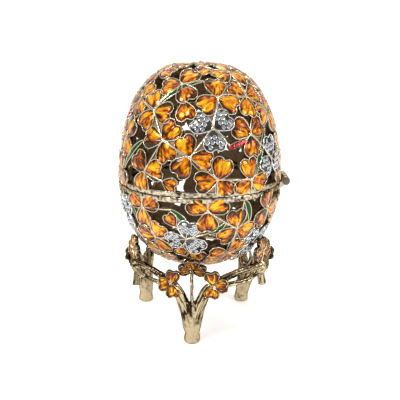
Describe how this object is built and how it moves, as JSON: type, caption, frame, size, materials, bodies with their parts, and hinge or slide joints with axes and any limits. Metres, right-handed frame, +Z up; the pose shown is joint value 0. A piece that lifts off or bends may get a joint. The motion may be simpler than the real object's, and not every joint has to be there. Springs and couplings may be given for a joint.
{
  "type": "egg-shaped trinket box",
  "caption": "Hinged openwork trinket box shaped like an egg, with heart-shaped enamel leaves, on a three-legged twig stand.",
  "frame": {"origin": "middle of the whole box's outline, on the surface that its feet stand on", "axes": "+Z up, -Y towards the front leg, +X towards the hinge"},
  "size_m": [0.066, 0.0625, 0.1019],
  "materials": {
    "enamelled_gold": "gold-plated casting with glossy amber enamel",
    "antique_gold": "pale antique gold, brown in the hollows",
    "dark_steel": "dark satin",
    "red_stone": "cut and polished"
  },
  "bodies": {
    "base": {"base": "enamelled_gold", "hinge_pin": "dark_steel", "stand": "antique_gold"},
    "lid": {"lid": "enamelled_gold", "red_stone_01": "red_stone", "red_stone_02": "red_stone", "red_stone_03": "red_stone", "red_stone_04": "red_stone", "red_stone_05": "red_stone", "red_stone_06": "red_stone", "red_stone_07": "red_stone", "red_stone_08": "red_stone", "red_stone_09": "red_stone", "red_stone_10": "red_stone"}
  },
  "joints": [
    {"name": "lid_hinge", "type": "hinge", "parent": "base", "child": "lid", "pos_m": [0.03118, 0, 0.0577], "axis": [0, 1, 0], "range_deg": [0, 90]}
  ]
}
